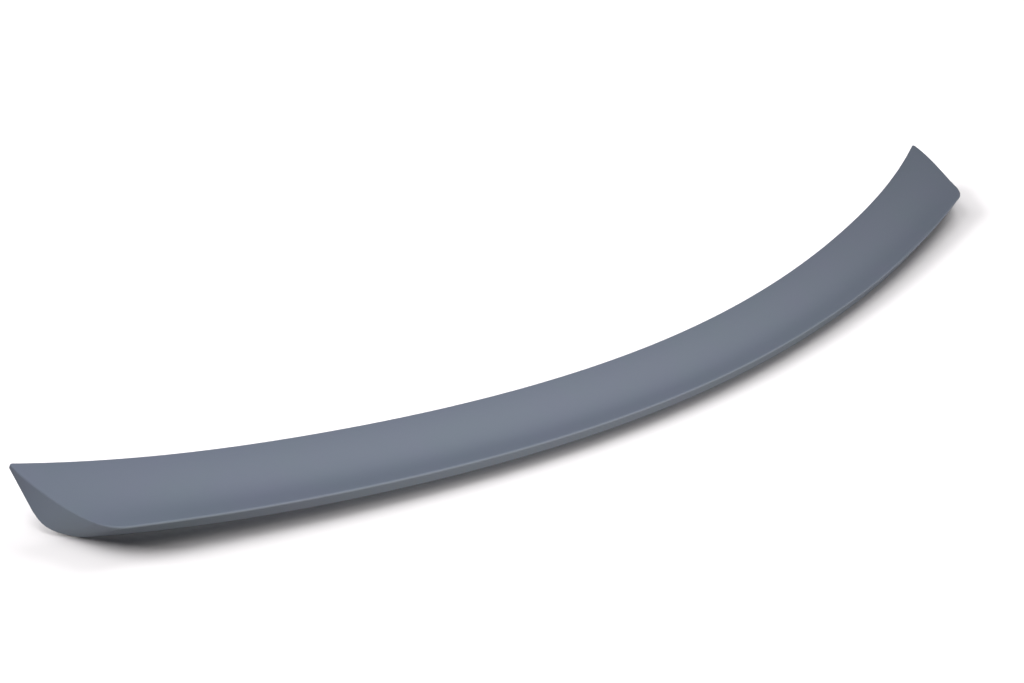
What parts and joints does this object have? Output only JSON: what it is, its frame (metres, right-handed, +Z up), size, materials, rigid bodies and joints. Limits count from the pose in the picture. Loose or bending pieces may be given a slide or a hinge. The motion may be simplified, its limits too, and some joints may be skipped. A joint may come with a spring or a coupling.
{
  "type": "car rear lip spoiler",
  "caption": "Slim bowed lip spoiler for the rear edge of a car's boot lid, with a hollow top, a raised tail lip and tapered ends, bonded on by its underside.",
  "frame": {"origin": "under the middle of the spoiler's box, on the surface that its tail rests on", "axes": "+X across the car, with the spoiler symmetric about X = 0; +Y towards the front of the car; +Z up as it lies on its tail"},
  "size_m": [1.1254, 0.2216, 0.032],
  "materials": {
    "primer": "matte blue-grey primer"
  },
  "bodies": {
    "root": {"spoiler": "primer"}
  },
  "joints": []
}
